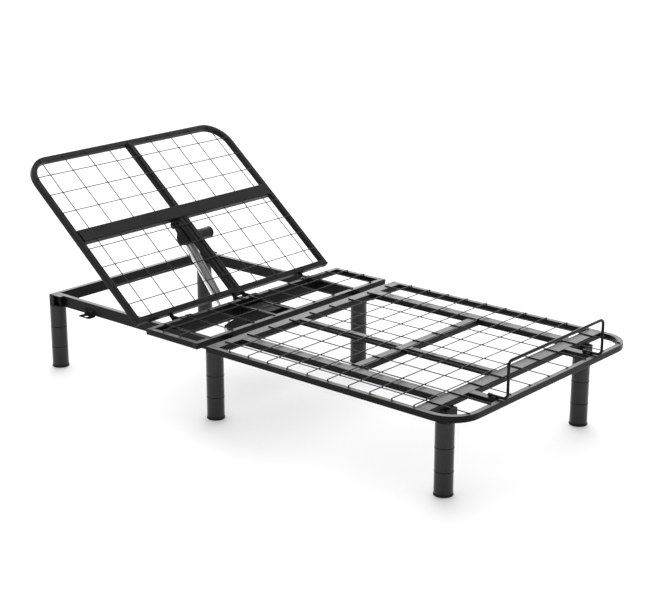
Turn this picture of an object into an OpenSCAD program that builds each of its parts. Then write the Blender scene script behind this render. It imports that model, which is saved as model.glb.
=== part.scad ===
// Adjustable bed base: a fixed foot deck and a fixed seat section on six legs,
// with a backrest panel hinged at the seat and raised by one linear actuator.
// Millimetres, +Z up, +Y toward the head. The origin is on the floor at the
// centre of the footprint, and the backrest is drawn part raised.

/* [Sleeping surface] */
// Width across the outside of the side tubes
deck_w = 956; // [860:1:1400]
// Square tube of the deck, seat and backrest frames
tube = 20; // [16:1:25]
// Wall of the square tube
wall = 1.5; // [1.2:0.1:3]
// Outside radius of the bent corners
corner_r = 100; // [60:1:160]
// Length from the seam to the foot of the fixed deck
foot_len = 986.5; // [800:0.5:1200]
// Fore and aft depth of the seat section
seat_len = 235; // [160:1:400]
// Gap between the foot deck and the seat section
seam_gap = 39; // [10:1:80]
// Length of the backrest panel along its side tubes
back_len = 726; // [600:1:900]

/* [Wire mesh] */
// Diameter of the mesh wire
wire_d = 3.4; // [2:0.1:6]
// Spacing of the wires that run head to foot
long_pitch = 101.6; // [60:0.1:150]
// Spacing of the wires that run side to side
cross_pitch = 81; // [50:0.5:120]

/* [Base and legs] */
// Height of the legs
leg_h = 232.3; // [120:0.1:320]
// Diameter of the legs
leg_d = 58; // [40:1:80]
// Depth of the rails of the head half
rail_h = 40; // [30:1:60]
// Width of the rails of the head half
rail_w = 20; // [15:1:40]
// Outer face of the side rails from the centre line
rail_x = 377; // [300:1:450]

/* [Backrest and actuator] */
// Angle of the backrest as drawn
back_angle = 39.502; // [0:0.001:55]
// Height of the backrest hinge axis
hinge_z = 282; // [260:0.5:300]
// Diameter of the hinge bolts
hinge_d = 8; // [6:1:12]
// Diameter of the actuator rod
rod_d = 14; // [10:1:24]
// Diameter of the drive motor
motor_d = 42; // [30:1:60]

/* [Mattress retainer] */
// Diameter of the retainer rod
retainer_d = 9; // [6:0.5:14]
// Height of the top of the retainer above the floor
retainer_top = 419.5; // [340:0.5:500]
// Distance between the two uprights
retainer_w = 510; // [300:1:800]

/* [Hidden] */
$fn = 48;
hx = deck_w / 2;
r = wire_d / 2;
z_rail0 = leg_h;
z_rail1 = leg_h + rail_h;
z0 = z_rail1;
z1 = z0 + tube;
z_long = z1 + r;
z_cross = z_long + wire_d;
seam_y = 10;
foot_y = seam_y - foot_len;
seat_y0 = seam_y + seam_gap;
seat_y1 = seat_y0 + seat_len;
post_y = -987;
back_y = 309.66;
back_z = 294.26;
s_top = 14 + back_len;
hinge_y = 314.5;
hinge_s = (hinge_y - back_y) * cos(back_angle) + (hinge_z - back_z) * sin(back_angle);
hinge_o = -(hinge_y - back_y) * sin(back_angle) + (hinge_z - back_z) * cos(back_angle);
o1 = -1.7;
o0 = o1 - tube;
y_far = back_y + s_top * cos(back_angle) - o0 * sin(back_angle);
y_near = post_y - retainer_d / 2;
y_shift = -(y_far + y_near) / 2;
leg_x = 366.5;
leg_ys = [-849, 82, 864];
pivot_y = 630;
pivot_z = 490;
lower_y = 360;
lower_z = 158;
stroke0 = sqrt(pow(pivot_y - lower_y, 2) + pow(pivot_z - lower_z, 2));
act_angle = atan2(pivot_z - lower_z, pivot_y - lower_y);
piv_s = (pivot_y - back_y) * cos(back_angle) + (pivot_z - back_z) * sin(back_angle);
piv_o = -(pivot_y - back_y) * sin(back_angle) + (pivot_z - back_z) * cos(back_angle);
rod_r = rod_d / 2;
bore = 5.05;
black = [0.10, 0.10, 0.11];
dark = [0.05, 0.05, 0.055];
steel = [0.72, 0.73, 0.75];
alu = [0.80, 0.81, 0.83];

// Everything that stands still is placed from the seam of the base.
module on_base() translate([0, y_shift, 0]) children();

// On the backrest, Y runs up the panel and Z is square to it.
module on_back() translate([0, y_shift + back_y, back_z]) rotate([back_angle, 0, 0]) children();

// On the actuator, Y runs from the upper pivot to the lower one.
module on_act() translate([0, y_shift + pivot_y, pivot_z]) rotate([180 + act_angle, 0, 0]) children();

module both() { children(); mirror([1, 0, 0]) children(); }

module tube_x(x0, x1, ya, yb, za, zb, t) difference() {
    translate([x0, ya, za]) cube([x1 - x0, yb - ya, zb - za]);
    translate([x0 - 1, ya + t, za + t]) cube([x1 - x0 + 2, yb - ya - 2 * t, zb - za - 2 * t]);
}

module tube_y(x0, x1, ya, yb, za, zb, t) difference() {
    translate([x0, ya, za]) cube([x1 - x0, yb - ya, zb - za]);
    translate([x0 + t, ya - 1, za + t]) cube([x1 - x0 - 2 * t, yb - ya + 2, zb - za - 2 * t]);
}

module bend(cx, cy, za, turn) translate([cx, cy, za]) rotate([0, 0, turn])
    rotate_extrude(angle = 90, $fn = 96) difference() {
        translate([corner_r - tube, 0]) square([tube, tube]);
        translate([corner_r - tube + wall, wall]) square([tube - 2 * wall, tube - 2 * wall]);
    }

module rod_x(x0, x1, y, z, rr) translate([x0, y, z]) rotate([0, 90, 0]) cylinder(r = rr, h = x1 - x0);
module rod_y(x, ya, yb, z, rr) translate([x, yb, z]) rotate([90, 0, 0]) cylinder(r = rr, h = yb - ya);
module plate_x(x0, x1) translate([x0, 0, 0]) rotate([90, 0, 90]) linear_extrude(x1 - x0) children();
module hex_x(x0, x1, y, z, rr) translate([x0, y, z]) rotate([0, 90, 0]) cylinder(r = rr, h = x1 - x0, $fn = 6);

module cap_y(x, y, za, dir) translate([x, y, za]) scale([1, dir, 1]) {
    translate([-tube / 2, -wall, 0]) cube([tube, wall, tube]);
    translate([-tube / 2 + wall + 0.05, -wall - 12, wall + 0.05])
        cube([tube - 2 * wall - 0.1, 12, tube - 2 * wall - 0.1]);
}

// ---- head half of the base ----
module side_rail() difference() {
    tube_y(rail_x - rail_w, rail_x, seat_y0 + 3, 857, z_rail0, z_rail1, 2);
    translate([leg_x, leg_ys[1], z_rail0 - 1]) cylinder(r = bore, h = 4);
}
module side_rail_left() color(black) on_base() mirror([1, 0, 0]) side_rail();
module side_rail_right() color(black) on_base() side_rail();

module head_cross_rail() color(black) on_base() difference() {
    tube_x(-391, 391, 857, 877, z_rail0, z_rail1, 2);
    both() translate([leg_x, leg_ys[2], z_rail0 - 1]) cylinder(r = bore, h = 4);
}

module mid_cross_rail() color(black) on_base()
    tube_x(-(rail_x - rail_w), rail_x - rail_w, seat_y1 - 20, seat_y1, z_rail0, z_rail1, 2);

module seam_cross_rail() color(black) on_base()
    tube_x(-(rail_x - rail_w), rail_x - rail_w, seat_y0 + 3, seat_y0 + 23, z_rail0, z_rail1, 2);

module seat_centre_rails() color(black) on_base() both()
    tube_y(36.5, 56.5, seat_y0 + 23, seat_y1 - 20, z_rail0, z_rail1, 2);

module rail_plug_x(x, y) {
    translate([x, y, z_rail0]) cube([2, 20, rail_h]);
    translate([x - 12, y + 2.1, z_rail0 + 2.1]) cube([12, 15.8, rail_h - 4.2]);
}
module rail_end_plugs() color(dark) on_base() both() {
    rail_plug_x(391, 857);
    translate([rail_x - rail_w, seat_y0 + 1, z_rail0]) cube([rail_w, 2, rail_h]);
}

module head_leg_brackets() color(black) on_base() both() difference() {
    translate([rail_x, 817, z_rail0]) cube([16, 40, rail_h]);
    translate([rail_x + 3, 820, z_rail0 + 3]) cube([16, 34, rail_h - 6]);
}

module foot_leg_brackets() color(black) on_base() both() difference() {
    translate([341.5, -874, z_rail0]) cube([50, 50, rail_h]);
    translate([338, -871, z_rail0 + 4]) cube([50.5, 44, rail_h - 7]);
    translate([leg_x, leg_ys[0], z_rail0 - 1]) cylinder(r = bore, h = 6);
}

// ---- legs: three screwed sections each ----
leg_cuts = [8, 77, 152, leg_h];
module leg_section(a, b, collar) rotate_extrude() polygon([
    [bore, a], [leg_d / 2 - 0.9, a], [leg_d / 2, a + 0.9],
    [leg_d / 2, b - 3.6], [leg_d / 2 + collar, b - 3.2], [leg_d / 2 + collar, b - 0.7],
    [leg_d / 2 - 0.5, b], [bore, b], [bore, b - 4], [leg_d / 2 - 2, b - 4],
    [leg_d / 2 - 2, a + 4], [bore, a + 4]]);
module at_legs() on_base() for (y = leg_ys) for (sx = [-1, 1]) translate([sx * leg_x, y, 0]) children();

module leg_upper_sections() color(black) at_legs() leg_section(leg_cuts[2], leg_cuts[3], 0.2);
module leg_middle_sections() color(black) at_legs() leg_section(leg_cuts[1], leg_cuts[2], 0.8);
module leg_lower_sections() color(black) at_legs() leg_section(leg_cuts[0], leg_cuts[1], 0.8);

module leg_studs() color(steel) at_legs() {
    translate([0, 0, 6]) cylinder(r = 5, h = 8);
    translate([0, 0, leg_cuts[1] - 16]) cylinder(r = 5, h = 32);
    translate([0, 0, leg_cuts[2] - 16]) cylinder(r = 5, h = 32);
    translate([0, 0, leg_h - 16]) cylinder(r = 5, h = 28);
}
module leg_glides() color(dark) at_legs() rotate_extrude() polygon([
    [0, 0], [leg_d / 2 - 0.5, 0], [leg_d / 2 + 1.2, 1.8], [leg_d / 2 + 1.2, 4.5],
    [leg_d / 2 - 0.5, 8], [bore, 8], [bore, 6], [0, 6]]);

// ---- seat section ----
module seat_head_tube() color(black) on_base()
    tube_x(-hx + wall, hx - wall, seat_y1 - tube, seat_y1, z0, z1, wall);
module seat_foot_tube() color(black) on_base()
    tube_x(-hx + wall, hx - wall, seat_y0, seat_y0 + tube, z0, z1, wall);
module seat_side_tubes() color(black) on_base() both()
    tube_y(hx - tube, hx, seat_y0 + tube, seat_y1 - tube, z0, z1, wall);
module seat_wires_long() color(black) on_base() for (i = [-4:4])
    rod_y(i * long_pitch, seat_y0 + 8, seat_y1 - 8, z_long, r);
seat_cross = [139, 216];
module seat_wires_cross() color(black) on_base() for (y = seat_cross)
    rod_x(-hx + 13, hx - 13, y, z_cross, r);

// ---- foot deck ----
bend_y = foot_y + corner_r;
module foot_side_tubes() color(black) on_base() both()
    tube_y(hx - tube, hx, bend_y, seam_y - wall, z0, z1, wall);
module foot_corner_bends() color(black) on_base() {
    bend(hx - corner_r, bend_y, z0, -90);
    bend(-hx + corner_r, bend_y, z0, 180);
}
module foot_end_tube() color(black) on_base()
    tube_x(-hx + corner_r, hx - corner_r, foot_y, foot_y + tube, z0, z1, wall);
module seam_crossbar() color(black) on_base()
    tube_x(-hx + tube, hx - tube, seam_y - 39, seam_y, z0, z1, 2);
module foot_rails() color(black) on_base() both()
    tube_y(312, 352, -811, seam_y - 39, z0, z1, 2);
module foot_centre_rail() color(black) on_base() {
    tube_y(-76, -52, -811, -484, z0, z1, 2);
    tube_y(-76, -52, -446, seam_y - 39, z0, z1, 2);
}
module mid_crossbar() color(black) on_base() tube_x(-312, 312, -484, -446, z0, z1, 2);
module foot_crossbar() color(black) on_base()
    tube_x(-hx + tube, hx - tube, -860, -811, z0, z1, 2);
module retainer_stubs() color(black) on_base() both()
    tube_y(retainer_w / 2 - 15, retainer_w / 2 + 15, foot_y + tube, -860, z0, z1, 2);
module foot_wires_long() color(black) on_base() for (i = [-4:4])
    rod_y(i * long_pitch, foot_y + 12.5, seam_y - 16, z_long, r);
module foot_wires_cross() color(black) on_base() for (j = [1:10])
    rod_x(-hx + 13, hx - 13, -cross_pitch * j, z_cross, r);
module pad(x, y) translate([x, y, z1]) cylinder(r = 2.6, h = wire_d, $fn = 24);
module mesh_weld_pads() color(black) on_base() both() {
    for (j = [1:10]) pad(hx - 14.5, -cross_pitch * j);
    for (y = seat_cross) pad(hx - 14.5, y);
}
module tube_end_caps() color(dark) on_base() both() {
    cap_y(hx - tube / 2, seam_y, z0, 1);
    for (y = [seat_y0, seat_y1 - tube]) translate([hx - wall, y, z0]) cube([wall, tube, tube]);
}
module seam_plates() color(black) on_base() both() difference() {
    translate([300, seam_y - 39, z0 - 4]) cube([45, seat_y0 + 3 - seam_y + 39, 4]);
    for (y = [-20, 1]) translate([322.5, y, z0 - 5]) cylinder(r = 4.2, h = 6);
}
module seam_bolts() color(steel) on_base() both() for (y = [-20, 1]) {
    translate([322.5, y, z0 - 4]) cylinder(r = 4.1, h = 4);
    translate([322.5, y, z0 - 9]) cylinder(r = 7.2, h = 5, $fn = 6);
}

// ---- mattress retainer at the foot ----
ret_z = z1 + 1.2 + retainer_d / 2;
ret_r = 16;
module ret_half() {
    rod_y(retainer_w / 2, post_y + ret_r, -922, ret_z, retainer_d / 2);
    translate([retainer_w / 2, post_y + ret_r, ret_z + ret_r]) rotate([0, 90, 0]) rotate([0, 0, -90])
        rotate_extrude(angle = 90) translate([ret_r, 0]) circle(r = retainer_d / 2, $fn = 32);
    translate([retainer_w / 2, post_y, ret_z + ret_r])
        cylinder(r = retainer_d / 2, h = retainer_top - retainer_d / 2 - ret_z - 2 * ret_r, $fn = 32);
    translate([retainer_w / 2 - ret_r, post_y, retainer_top - retainer_d / 2 - ret_r]) rotate([90, 0, 0])
        rotate_extrude(angle = 90) translate([ret_r, 0]) circle(r = retainer_d / 2, $fn = 32);
}
module retainer_bar() color(black) on_base() {
    both() ret_half();
    rod_x(-retainer_w / 2 + ret_r, retainer_w / 2 - ret_r, post_y, retainer_top - retainer_d / 2, retainer_d / 2);
}
module retainer_saddles() color(dark) on_base() both() difference() {
    translate([retainer_w / 2 - 9, -950, z1]) cube([18, 14, 1.2 + retainer_d / 2]);
    rod_y(retainer_w / 2, -951, -935, ret_z, retainer_d / 2 + 0.02);
}
module retainer_caps() color(dark) on_base() both() translate([retainer_w / 2, -933, ret_z])
    rotate([-90, 0, 0]) rotate_extrude() polygon([
        [retainer_d / 2 + 0.02, 0], [5.6, 0], [5.6, 12.5], [4.8, 13.5], [0, 13.5], [0, 11.1], [retainer_d / 2 + 0.02, 11.1]]);

// ---- small parts under the head half ----
bracket_y = 679;
module side_bracket() color(black) on_base() {
    translate([-rail_x - 3, bracket_y - 27, z_rail0 - 4]) cube([3, 54, 24]);
    difference() {
        translate([-rail_x - 31, bracket_y - 27, z_rail0 - 4]) cube([31, 54, 3]);
        translate([-rail_x - 17, bracket_y, z_rail0 - 5]) cylinder(r = 9, h = 5, $fn = 48);
    }
}
module control_box() color(dark) on_base() {
    translate([-36, 150, z_rail0 + 6]) cube([72, 104, 31]);
    translate([-26, 147, z_rail0 + 12]) cube([14, 3, 12]);
}

// ---- hinges ----
lug_xs = [318, 24.4];
module lug(x) {
    difference() {
        union() {
            translate([x, seat_y1, hinge_z - 9]) cube([4, hinge_y - seat_y1, 18]);
            rod_x(x, x + 4, hinge_y, hinge_z, 9);
        }
        rod_x(x - 1, x + 5, hinge_y, hinge_z, hinge_d / 2 + 0.05);
    }
}
module hinge_lugs() color(black) on_base() both() {
    for (x = lug_xs) lug(x);
    translate([276, seat_y1 - tube + 2, z1]) cube([26.5, tube + 1, 3]);
    translate([307.5, seat_y1 - tube + 2, z1]) cube([18.5, tube + 1, 3]);
    translate([22, seat_y1 - tube + 2, z1]) cube([20, tube + 1, 3]);
}
module hinge_bolts() color(steel) on_base() {
    both() {
        rod_x(312, 330.4, hinge_y, hinge_z, hinge_d / 2);
        hex_x(313, 318, hinge_y, hinge_z, 7.4);
        rod_x(326.8, 331, hinge_y, hinge_z, 7.2);
        hex_x(28.4, 33.4, hinge_y, hinge_z, 7.4);
        for (x = [283, 296, 34]) translate([x, seat_y1 - 9, z1 + 3]) cylinder(r = 4.6, h = 3);
    }
    rod_x(-32, 32, hinge_y, hinge_z, hinge_d / 2);
}

// ---- lower actuator bracket ----
module lower_bracket_ears() color(black) on_base() both() difference() {
    plate_x(22, 25) polygon([[seat_y1 - 20, z_rail0 - 3], [seat_y1 - 20, z_rail0 - 42], [seat_y1 + 16, lower_z - 8],
        [lower_y - 10, lower_z - 14], [lower_y + 6, lower_z - 13], [lower_y + 14, lower_z - 6], [lower_y + 13, lower_z + 14],
        [seat_y1 + 16, z_rail0 - 10], [seat_y1, z_rail0 - 3]]);
    rod_x(21, 26, lower_y, lower_z, 5.3);
}
module lower_bracket_base() color(black) on_base()
    translate([-30, seat_y1 - 20, z_rail0 - 3]) cube([60, 20, 3]);
module lower_bolt_heads() color(steel) on_base() both() {
    hex_x(25, 31, lower_y, lower_z, 8.7);
    rod_x(22.2, 25, lower_y, lower_z, 5.2);
}

// ---- backrest panel ----
bar0 = 365;
bar1 = 416;
module back_side_tubes() color(black) on_back() both()
    tube_y(hx - tube, hx, 14 + wall, s_top - corner_r, o0, o1, wall);
module back_corner_bends() color(black) on_back() {
    bend(hx - corner_r, s_top - corner_r, o0, 0);
    bend(-hx + corner_r, s_top - corner_r, o0, 90);
}
module back_top_tube() color(black) on_back()
    tube_x(-hx + corner_r, hx - corner_r, s_top - tube, s_top, o0, o1, wall);
module back_bottom_tube() color(black) on_back() both()
    tube_x(20, hx - tube, 15, 35, o0, o1, wall);
module back_crossbar() color(black) on_back()
    tube_x(-hx + tube, hx - tube, bar0, bar1, o0, 1.8, 2);
module back_stringers() color(black) on_back() {
    tube_y(-6, 20, bar1, s_top - tube, o0, o1, 2);
    tube_y(-20, 20, 8, bar0, o0, o1, 2);
}
module back_wires_long() color(black) on_back() for (i = [-4:4]) {
    rod_y(i * long_pitch, bar1, s_top - 8, 0, r);
    rod_y(i * long_pitch, 27, bar0, 0, r);
}
back_cross = [656.0, 575.3, 494.6, 332.1, 251.4, 170.7, 90.0];
module back_wires_cross() color(black) on_back() for (s = back_cross)
    rod_x(-hx + 13, hx - 13, s, wire_d, r);
module back_weld_pads() color(black) on_back() both() for (s = back_cross)
    translate([hx - 14.5, s, o1]) cylinder(r = 2.6, h = wire_d, $fn = 24);
module back_end_caps() color(dark) on_back() both() cap_y(hx - tube / 2, 14, o0, -1);

module arm(x) difference() {
    union() {
        translate([x, hinge_s, hinge_o - 9]) cube([4, 15 - hinge_s, 18]);
        rod_x(x, x + 4, hinge_s, hinge_o, 9);
    }
    rod_x(x - 1, x + 5, hinge_s, hinge_o, hinge_d / 2 + 0.05);
}
module hinge_arms() color(black) on_back() both() { arm(322.4); arm(20); }

module actuator_top_bracket() color(black) on_back() {
    both() difference() {
        plate_x(12, 16) polygon([[bar0 + 2, o0 - 3], [bar1 - 2, o0 - 3],
            [piv_s + 14, piv_o + 2], [piv_s + 11, piv_o - 9], [piv_s + 3, piv_o - 14],
            [piv_s - 8, piv_o - 12], [piv_s - 13, piv_o - 4]]);
        rod_x(11, 17, piv_s, piv_o, 5.05);
    }
    translate([-24, bar0 + 1, o0 - 3]) cube([48, bar1 - bar0 - 2, 3]);
    rod_x(-20, 20, piv_s, piv_o, 5);
    both() hex_x(16, 21, piv_s, piv_o, 8);
}

// ---- actuator ----
module gear_housing() color(dark) on_act() difference() {
    union() {
        plate_x(-22, 22) polygon([[20, -30], [16, -24], [24, -14], [50, 12], [60, 15],
            [74, 12], [80, 5], [90, -16], [90, -36], [84, -42], [34, -35]]);
        translate([-10, 0, -12]) cube([20, 34, 20]);
        rod_x(-10, 10, 0, 0, 12);
    }
    rod_x(-11, 11, 0, 0, 5.05);
    translate([-14.1, 79.9, -27.1]) cube([28.2, 12, 36.7]);
}

module drive_motor() color(dark) on_act() {
    rod_x(22, 100, 66, -20, motor_d / 2);
    rod_x(100, 104, 66, -20, motor_d / 2 - 1);
    rod_x(104, 112, 66, -20, motor_d / 2 + 0.4);
}

rail_u0 = 80;
rail_u1 = 305;
module guide_rail() color(alu) on_act() difference() {
    union() {
        rod_y(0, rail_u0, rail_u1, -2.5, 12);
        translate([-5, rail_u0, -18]) cube([10, rail_u1 - rail_u0, 8]);
        translate([-11, rail_u0, -27]) cube([22, rail_u1 - rail_u0, 10.5]);
    }
    rod_y(0, rail_u0 - 1, rail_u1 + 1, 0, rod_r + 0.3);
    translate([-2.5, rail_u0 - 1, -28]) cube([5, rail_u1 - rail_u0 + 2, 3.5]);
}

module actuator_rod() color(steel) on_act() {
    rod_y(0, 200, stroke0 - 8, 0, rod_r);
    difference() {
        rod_x(-8, 8, stroke0, 0, 13);
        rod_x(-9, 9, stroke0, 0, 5.05);
    }
    rod_x(-21, 21, stroke0, 0, 5);
}

side_rail_left();
side_rail_right();
head_cross_rail();
mid_cross_rail();
seam_cross_rail();
seat_centre_rails();
rail_end_plugs();
head_leg_brackets();
foot_leg_brackets();
leg_upper_sections();
leg_middle_sections();
leg_lower_sections();
leg_studs();
leg_glides();
seat_head_tube();
seat_foot_tube();
seat_side_tubes();
seat_wires_long();
seat_wires_cross();
foot_side_tubes();
foot_corner_bends();
foot_end_tube();
seam_crossbar();
foot_rails();
foot_centre_rail();
mid_crossbar();
foot_crossbar();
retainer_stubs();
foot_wires_long();
foot_wires_cross();
mesh_weld_pads();
tube_end_caps();
seam_plates();
seam_bolts();
retainer_bar();
retainer_saddles();
retainer_caps();
side_bracket();
control_box();
hinge_lugs();
hinge_bolts();
lower_bracket_ears();
lower_bracket_base();
lower_bolt_heads();
back_side_tubes();
back_corner_bends();
back_top_tube();
back_bottom_tube();
back_crossbar();
back_stringers();
back_wires_long();
back_wires_cross();
back_weld_pads();
back_end_caps();
hinge_arms();
actuator_top_bracket();
gear_housing();
drive_motor();
guide_rail();
actuator_rod();
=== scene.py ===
import math

import bmesh
import bpy
from mathutils import Matrix, Vector


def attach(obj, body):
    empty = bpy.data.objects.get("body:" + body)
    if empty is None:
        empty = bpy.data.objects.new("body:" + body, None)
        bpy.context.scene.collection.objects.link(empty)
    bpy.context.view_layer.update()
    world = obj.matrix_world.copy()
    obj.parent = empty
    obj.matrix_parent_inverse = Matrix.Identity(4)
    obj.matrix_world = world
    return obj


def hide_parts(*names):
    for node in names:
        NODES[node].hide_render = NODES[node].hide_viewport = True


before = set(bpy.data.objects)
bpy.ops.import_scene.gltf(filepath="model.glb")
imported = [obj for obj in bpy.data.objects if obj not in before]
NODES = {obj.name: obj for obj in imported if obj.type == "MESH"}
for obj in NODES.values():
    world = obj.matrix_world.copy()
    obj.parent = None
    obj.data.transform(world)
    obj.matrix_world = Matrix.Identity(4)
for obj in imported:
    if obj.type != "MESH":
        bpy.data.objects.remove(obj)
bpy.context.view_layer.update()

# ---------------------------------------------------------------- dimensions (mm)
ANG = math.radians(39.502)
BACK_Y, BACK_Z = 309.66, 294.26
S_TOP, O1, TUBE, WALL = 740.0, -1.7, 20.0, 1.5
O0 = O1 - TUBE
Y_FAR = BACK_Y + S_TOP * math.cos(ANG) - O0 * math.sin(ANG)
Y_NEAR = -987 - 4.5
YS = -(Y_FAR + Y_NEAR) / 2
HX, R = 478.0, 1.7
ZL, ZR = 232.3, 272.3
Z0, Z1 = 272.3, 292.3
ZLONG, ZCROSS = Z1 + R, Z1 + R + 3.4
LEG_X, LEG_Y = 366.5, (-849.0, 82.0, 864.0)
HY, HZ = 314.5, 282.0
HS = (HY - BACK_Y) * math.cos(ANG) + (HZ - BACK_Z) * math.sin(ANG)
HO = -(HY - BACK_Y) * math.sin(ANG) + (HZ - BACK_Z) * math.cos(ANG)
PY, PZ, QY, QZ = 630.0, 490.0, 360.0, 158.0
STROKE = math.hypot(PY - QY, PZ - QZ)
ACT = math.atan2(PZ - QZ, PY - QY)
PS = (PY - BACK_Y) * math.cos(ANG) + (PZ - BACK_Z) * math.sin(ANG)
PO = -(PY - BACK_Y) * math.sin(ANG) + (PZ - BACK_Z) * math.cos(ANG)
PITCH = 101.6

M_BASE = Matrix.Translation((0, YS, 0))
M_BACK = Matrix.Translation((0, YS + BACK_Y, BACK_Z)) @ Matrix.Rotation(ANG, 4, "X")
M_ACT = Matrix.Translation((0, YS + PY, PZ)) @ Matrix.Rotation(math.pi + ACT, 4, "X")
ALONG = {
    "X": Matrix(((0, 0, 1, 0), (1, 0, 0, 0), (0, 1, 0, 0), (0, 0, 0, 1))),
    "Y": Matrix(((0, 1, 0, 0), (0, 0, 1, 0), (1, 0, 0, 0), (0, 0, 0, 1))),
    "Z": Matrix.Identity(4),
}


def T(x, y, z):
    return Matrix.Translation((x, y, z))


# ---------------------------------------------------------------- mesh building
class Build:
    def __init__(self):
        self.v, self.f = [], []

    def add(self, vf, m=None):
        verts, faces = vf
        base = len(self.v)
        for p in verts:
            p = Vector(p)
            self.v.append(m @ p if m is not None else p)
        flip = m is not None and m.to_3x3().determinant() < 0
        for f in faces:
            f = [base + i for i in f]
            self.f.append(f[::-1] if flip else f)
        return self

    def both(self, vf, m=None):
        m = m if m is not None else Matrix.Identity(4)
        self.add(vf, m)
        self.add(vf, Matrix.Diagonal((-1, 1, 1, 1)) @ m)
        return self


def rrect(w, h, r=2.0, n=4, cx=0.0, cy=0.0):
    """Closed counter-clockwise loop of a rounded rectangle."""
    pts = []
    for qx, qy, a0 in ((1, -1, -90), (1, 1, 0), (-1, 1, 90), (-1, -1, 180)):
        x, y = cx + qx * (w / 2 - r), cy + qy * (h / 2 - r)
        for i in range(n + 1):
            a = math.radians(a0 + 90 * i / n)
            pts.append((x + r * math.cos(a), y + r * math.sin(a)))
    return pts


def circle(r, n=24, cx=0.0, cy=0.0, start=0.0):
    return [(cx + r * math.cos(start + 2 * math.pi * i / n), cy + r * math.sin(start + 2 * math.pi * i / n)) for i in range(n)]


def fillet(pts, r, n=4):
    """Rounds the corners of a closed polygon."""
    out = []
    k = len(pts)
    for i in range(k):
        p, a, b = Vector(pts[i]), Vector(pts[i - 1]), Vector(pts[(i + 1) % k])
        u, w = (a - p), (b - p)
        lu, lw = u.length, w.length
        u.normalize()
        w.normalize()
        cosv = max(-0.9999, min(0.9999, u.dot(w)))
        half = math.acos(cosv) / 2
        rr = r[i] if isinstance(r, (list, tuple)) else r
        d = min(rr / math.tan(half), lu * 0.45, lw * 0.45)
        rr = d * math.tan(half)
        if rr < 0.05:
            out.append((p.x, p.y))
            continue
        c = p + (u + w).normalized() * (rr / math.sin(half))
        s, e = p + u * d - c, p + w * d - c
        a0, a1 = math.atan2(s.y, s.x), math.atan2(e.y, e.x)
        da = (a1 - a0 + math.pi) % (2 * math.pi) - math.pi
        for j in range(n + 1):
            t = a0 + da * j / n
            out.append((c.x + rr * math.cos(t), c.y + rr * math.sin(t)))
    return out


def inset(loop, d):
    """Offsets a counter-clockwise loop inwards."""
    k = len(loop)
    out = []
    for i in range(k):
        p, a, b = Vector(loop[i]), Vector(loop[i - 1]), Vector(loop[(i + 1) % k])
        e1, e2 = (p - a), (b - p)
        if e1.length < 1e-9:
            e1 = e2
        if e2.length < 1e-9:
            e2 = e1
        n1 = Vector((-e1.y, e1.x)).normalized()
        n2 = Vector((-e2.y, e2.x)).normalized()
        m = n1 + n2
        if m.length < 1e-6:
            m = n1
        m.normalize()
        c = max(0.35, m.dot(n1))
        q = p + m * (d / c)
        out.append((q.x, q.y))
    return out


def stitch(rings, closed=False, cap0=True, cap1=True):
    verts, faces = [], []
    n = len(rings[0])
    for ring in rings:
        verts += [tuple(p) for p in ring]
    k = len(rings)
    for i in range(k if closed else k - 1):
        a, b = i * n, ((i + 1) % k) * n
        for j in range(n):
            j2 = (j + 1) % n
            faces.append([a + j, a + j2, b + j2, b + j])
    if not closed:
        if cap0:
            faces.append(list(range(n))[::-1])
        if cap1:
            faces.append([(k - 1) * n + j for j in range(n)])
    return verts, faces


def prism(loop, z0, z1, bevel=0.5, steps=2, b0=None, b1=None):
    """Extrudes a loop along Z, with rounded edges at both ends."""
    b0 = bevel if b0 is None else b0
    b1 = bevel if b1 is None else b1
    rings = []
    if b0 > 0:
        for i in range(steps + 1):
            a = math.pi / 2 * i / steps
            lp = inset(loop, b0 * (1 - math.sin(a)))
            rings.append([(x, y, z0 + b0 * (1 - math.cos(a))) for x, y in lp])
    else:
        rings.append([(x, y, z0) for x, y in loop])
    if b1 > 0:
        for i in range(steps + 1):
            a = math.pi / 2 * (1 - i / steps)
            lp = inset(loop, b1 * (1 - math.sin(a)))
            rings.append([(x, y, z1 - b1 * (1 - math.cos(a))) for x, y in lp])
    else:
        rings.append([(x, y, z1) for x, y in loop])
    return stitch(rings)


def hollow(outer, inner, z0, z1):
    """A tube with both ends open; the loops have as many points as each other."""
    rings = [[(x, y, z0) for x, y in outer], [(x, y, z1) for x, y in outer], [(x, y, z1) for x, y in inner], [(x, y, z0) for x, y in inner]]
    return stitch(rings, closed=True)


def lathe(profile, n=48, axis_hole=False):
    """Turns (r, z) points round Z. A point at r 0 becomes a pole."""
    verts, faces, idx = [], [], []
    for r, z in profile:
        if r < 1e-6:
            idx.append([len(verts)])
            verts.append((0, 0, z))
        else:
            idx.append(list(range(len(verts), len(verts) + n)))
            verts += [(r * math.cos(2 * math.pi * i / n), r * math.sin(2 * math.pi * i / n), z) for i in range(n)]
    k = len(profile)
    for i in range(k if axis_hole else k - 1):
        a, b = idx[i], idx[(i + 1) % k]
        for j in range(n):
            j2 = (j + 1) % n
            if len(a) == 1 and len(b) == 1:
                continue
            if len(a) == 1:
                faces.append([a[0], b[j2], b[j]][::-1])
            elif len(b) == 1:
                faces.append([a[j], a[j2], b[0]])
            else:
                faces.append([a[j], a[j2], b[j2], b[j]])
    return verts, faces


def sweep(loop, frames, closed=False):
    """Carries a 2D loop along frames of (origin, local x, local y)."""
    rings = []
    for o, ax, ay in frames:
        o, ax, ay = Vector(o), Vector(ax), Vector(ay)
        rings.append([o + ax * x + ay * y for x, y in loop])
    return stitch(rings, closed=closed)


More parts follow.
